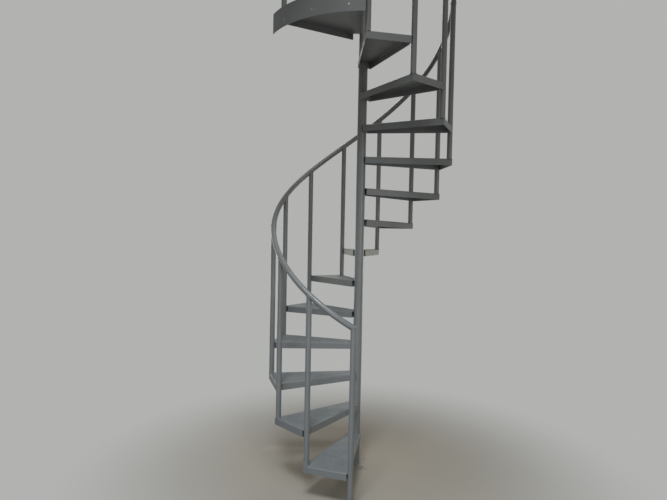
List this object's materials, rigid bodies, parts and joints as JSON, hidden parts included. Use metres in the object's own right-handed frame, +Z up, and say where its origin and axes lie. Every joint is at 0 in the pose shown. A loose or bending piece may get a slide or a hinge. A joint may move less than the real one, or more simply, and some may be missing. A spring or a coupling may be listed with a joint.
{
  "type": "spiral staircase",
  "caption": "Compact spiral staircase of painted steel: folded wedge treads round a centre pole, upright tube balusters, a helical tube handrail and a bolted landing.",
  "frame": {"origin": "on the floor under the centre of the base plate, on the pole's axis", "axes": "+Z up the pole; -Y from the pole to the newel post at the foot of the stair; +X completes the right-handed frame, on the side that people enter from"},
  "size_m": [1.2022, 1.2408, 3.874],
  "materials": {
    "sheet_paint": "satin grey paint on folded steel sheet",
    "tube_paint": "satin grey paint on steel tube"
  },
  "bodies": {
    "root": {"base_plate": "sheet_paint", "centre_pole": "tube_paint", "pole_cap": "tube_paint", "newel_post": "tube_paint", "newel_foot": "sheet_paint", "tread_01": "sheet_paint", "tread_02": "sheet_paint", "tread_03": "sheet_paint", "tread_04": "sheet_paint", "tread_05": "sheet_paint", "tread_06": "sheet_paint", "tread_07": "sheet_paint", "tread_08": "sheet_paint", "tread_09": "sheet_paint", "tread_10": "sheet_paint", "tread_11": "sheet_paint", "tread_12": "sheet_paint", "tread_13": "sheet_paint", "baluster_01": "tube_paint", "baluster_02": "tube_paint", "baluster_03": "tube_paint", "baluster_04": "tube_paint", "baluster_05": "tube_paint", "baluster_06": "tube_paint", "baluster_07": "tube_paint", "baluster_08": "tube_paint", "baluster_09": "tube_paint", "baluster_10": "tube_paint", "baluster_11": "tube_paint", "baluster_12": "tube_paint", "baluster_13": "tube_paint", "handrail": "tube_paint", "handrail_plug": "tube_paint", "landing": "sheet_paint", "guard_rail": "tube_paint", "guard_posts": "tube_paint"}
  },
  "joints": []
}
